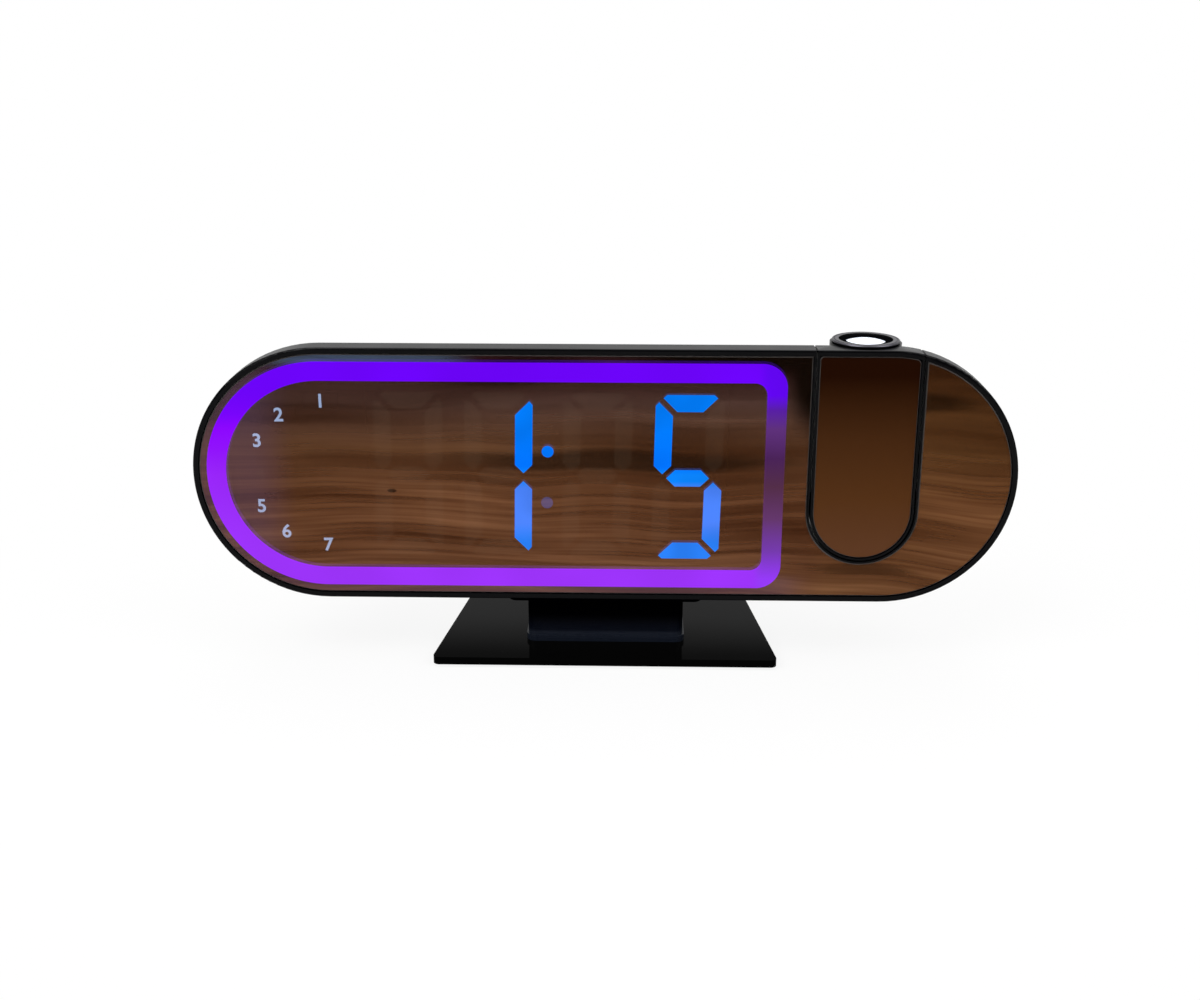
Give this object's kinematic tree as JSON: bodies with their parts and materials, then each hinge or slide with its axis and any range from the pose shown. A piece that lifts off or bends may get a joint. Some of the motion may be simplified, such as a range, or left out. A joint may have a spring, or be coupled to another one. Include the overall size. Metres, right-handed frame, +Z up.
{
  "type": "projection alarm clock",
  "caption": "Projection alarm clock with a long round-ended mirror face, glowing digits in a light band, a projector arm that swings back out of its channel, and a flat pedestal.",
  "frame": {"origin": "under the middle of the stand, on the surface the clock rests on", "axes": "+X to the right as the face is read, +Y from the face towards the back, +Z up"},
  "size_m": [0.2, 0.042, 0.0812],
  "materials": {
    "gloss_black_abs": "glossy moulded black",
    "half_mirror_acrylic": "smoked half mirror with a soft brown grain",
    "light_guide_acrylic": "clear acrylic edge-lit in violet",
    "mask_film": "matte black",
    "flex_circuit": "white solder mask",
    "led_package": "cream led bodies",
    "reflector_plastic": "matte black, moulded",
    "lit_diffuser": "glowing blue diffuser",
    "dark_diffuser": "unlit milky diffuser",
    "pipe_acrylic": "moulded clear acrylic",
    "circuit_board": "green solder mask",
    "zinc_screw": "zinc-plated steel",
    "black_screw": "blackened steel",
    "component_plastic": "black moulded packages",
    "speaker_frame": "dark pressed steel",
    "socket_steel": "bright nickel-plated steel",
    "cell_steel": "nickel-plated steel",
    "contact_brass": "gold-flashed spring brass",
    "lead_jacket": "black insulation",
    "matte_black_abs": "fine-textured black",
    "button_plastic": "smooth dark grey",
    "pivot_steel": "turned steel",
    "washer_nylon": "natural nylon",
    "barrel_plastic": "matte black",
    "slide_film": "dark exposed film",
    "optical_acrylic": "polished clear lens",
    "anodised_ring": "satin bronze-grey anodised",
    "stand_gloss_black": "glossy black",
    "plate_metal": "gloss black stoved paint",
    "foot_rubber": "matte rubber"
  },
  "bodies": {
    "clock_body": {"front_frame": "gloss_black_abs", "mirror_panel": "half_mirror_acrylic", "light_guide": "light_guide_acrylic", "light_mask": "mask_film", "band_led_strip": "flex_circuit", "band_leds": "led_package", "display_leds": "led_package", "digit_block": "reflector_plastic", "lit_segments": "lit_diffuser", "unlit_segments": "dark_diffuser", "weekday_light_pipes": "pipe_acrylic", "display_board": "circuit_board", "main_board": "circuit_board", "display_board_screws": "zinc_screw", "main_board_screws": "zinc_screw", "neck_screws": "zinc_screw", "base_screws": "zinc_screw", "shell_screws": "black_screw", "board_header": "component_plastic", "control_chips": "component_plastic", "tact_switches": "component_plastic", "speaker": "speaker_frame", "usb_port": "socket_steel", "power_socket": "socket_steel", "coin_cell": "cell_steel", "cell_contacts": "contact_brass", "pivot_lead": "lead_jacket", "back_shell": "matte_black_abs", "pivot_sleeves": "pivot_steel", "pivot_clips": "pivot_steel", "friction_washers": "washer_nylon", "stand_neck": "stand_gloss_black", "base_plate": "plate_metal", "rubber_feet": "foot_rubber"},
    "projector_arm": {"arm_front_shell": "gloss_black_abs", "arm_rear_shell": "gloss_black_abs", "arm_mirror": "half_mirror_acrylic", "arm_screws": "black_screw", "lens_barrel": "barrel_plastic", "image_slide": "slide_film", "condenser_lens": "optical_acrylic", "projector_board": "circuit_board", "projector_led": "led_package", "arm_lead": "lead_jacket"},
    "focus_ring": {"focus_ring": "anodised_ring"},
    "lens_group": {"lens_cell": "barrel_plastic", "projection_lens": "optical_acrylic"},
    "battery_door": {"battery_door": "matte_black_abs"},
    "button_mode": {"button_mode": "button_plastic"},
    "button_alarm": {"button_alarm": "button_plastic"},
    "button_up": {"button_up": "button_plastic"},
    "button_down": {"button_down": "button_plastic"},
    "button_light": {"button_light": "button_plastic"},
    "button_projection": {"button_projection": "button_plastic"}
  },
  "joints": [
    {"name": "arm_tilt", "type": "hinge", "parent": "clock_body", "child": "projector_arm", "pos_m": [0.063, -0.0066, 0.04035], "axis": [-1, 0, 0], "range_deg": [0, 90]},
    {"name": "focus_turn", "type": "hinge", "parent": "projector_arm", "child": "focus_ring", "pos_m": [0.063, -0.0066, 0.0805], "axis": [0, 0, 1], "range_deg": [-90, 90]},
    {"name": "lens_slide", "type": "slide", "parent": "projector_arm", "child": "lens_group", "axis": [0, 0, 1], "range_m": [-0.0008, 0.0008]},
    {"name": "battery_door_turn", "type": "hinge", "parent": "clock_body", "child": "battery_door", "pos_m": [-0.0505, 0.0086, 0.04865], "axis": [0, 1, 0], "range_deg": [0, 45]},
    {"name": "button_mode_press", "type": "slide", "parent": "clock_body", "child": "button_mode", "axis": [0, -1, 0], "range_m": [0, 0.0006], "stiffness_N_per_m": 2500, "springref_m": -0.0003},
    {"name": "button_alarm_press", "type": "slide", "parent": "clock_body", "child": "button_alarm", "axis": [0, -1, 0], "range_m": [0, 0.0006], "stiffness_N_per_m": 2500, "springref_m": -0.0003},
    {"name": "button_up_press", "type": "slide", "parent": "clock_body", "child": "button_up", "axis": [0, -1, 0], "range_m": [0, 0.0006], "stiffness_N_per_m": 2500, "springref_m": -0.0003},
    {"name": "button_down_press", "type": "slide", "parent": "clock_body", "child": "button_down", "axis": [0, -1, 0], "range_m": [0, 0.0006], "stiffness_N_per_m": 2500, "springref_m": -0.0003},
    {"name": "button_light_press", "type": "slide", "parent": "clock_body", "child": "button_light", "axis": [0, -1, 0], "range_m": [0, 0.0006], "stiffness_N_per_m": 2500, "springref_m": -0.0003},
    {"name": "button_projection_press", "type": "slide", "parent": "clock_body", "child": "button_projection", "axis": [0, -1, 0], "range_m": [0, 0.0006], "stiffness_N_per_m": 2500, "springref_m": -0.0003}
  ],
  "couplings": [
    {"joint": "focus_turn", "follows": "lens_slide", "rad_per_m": 1963}
  ]
}
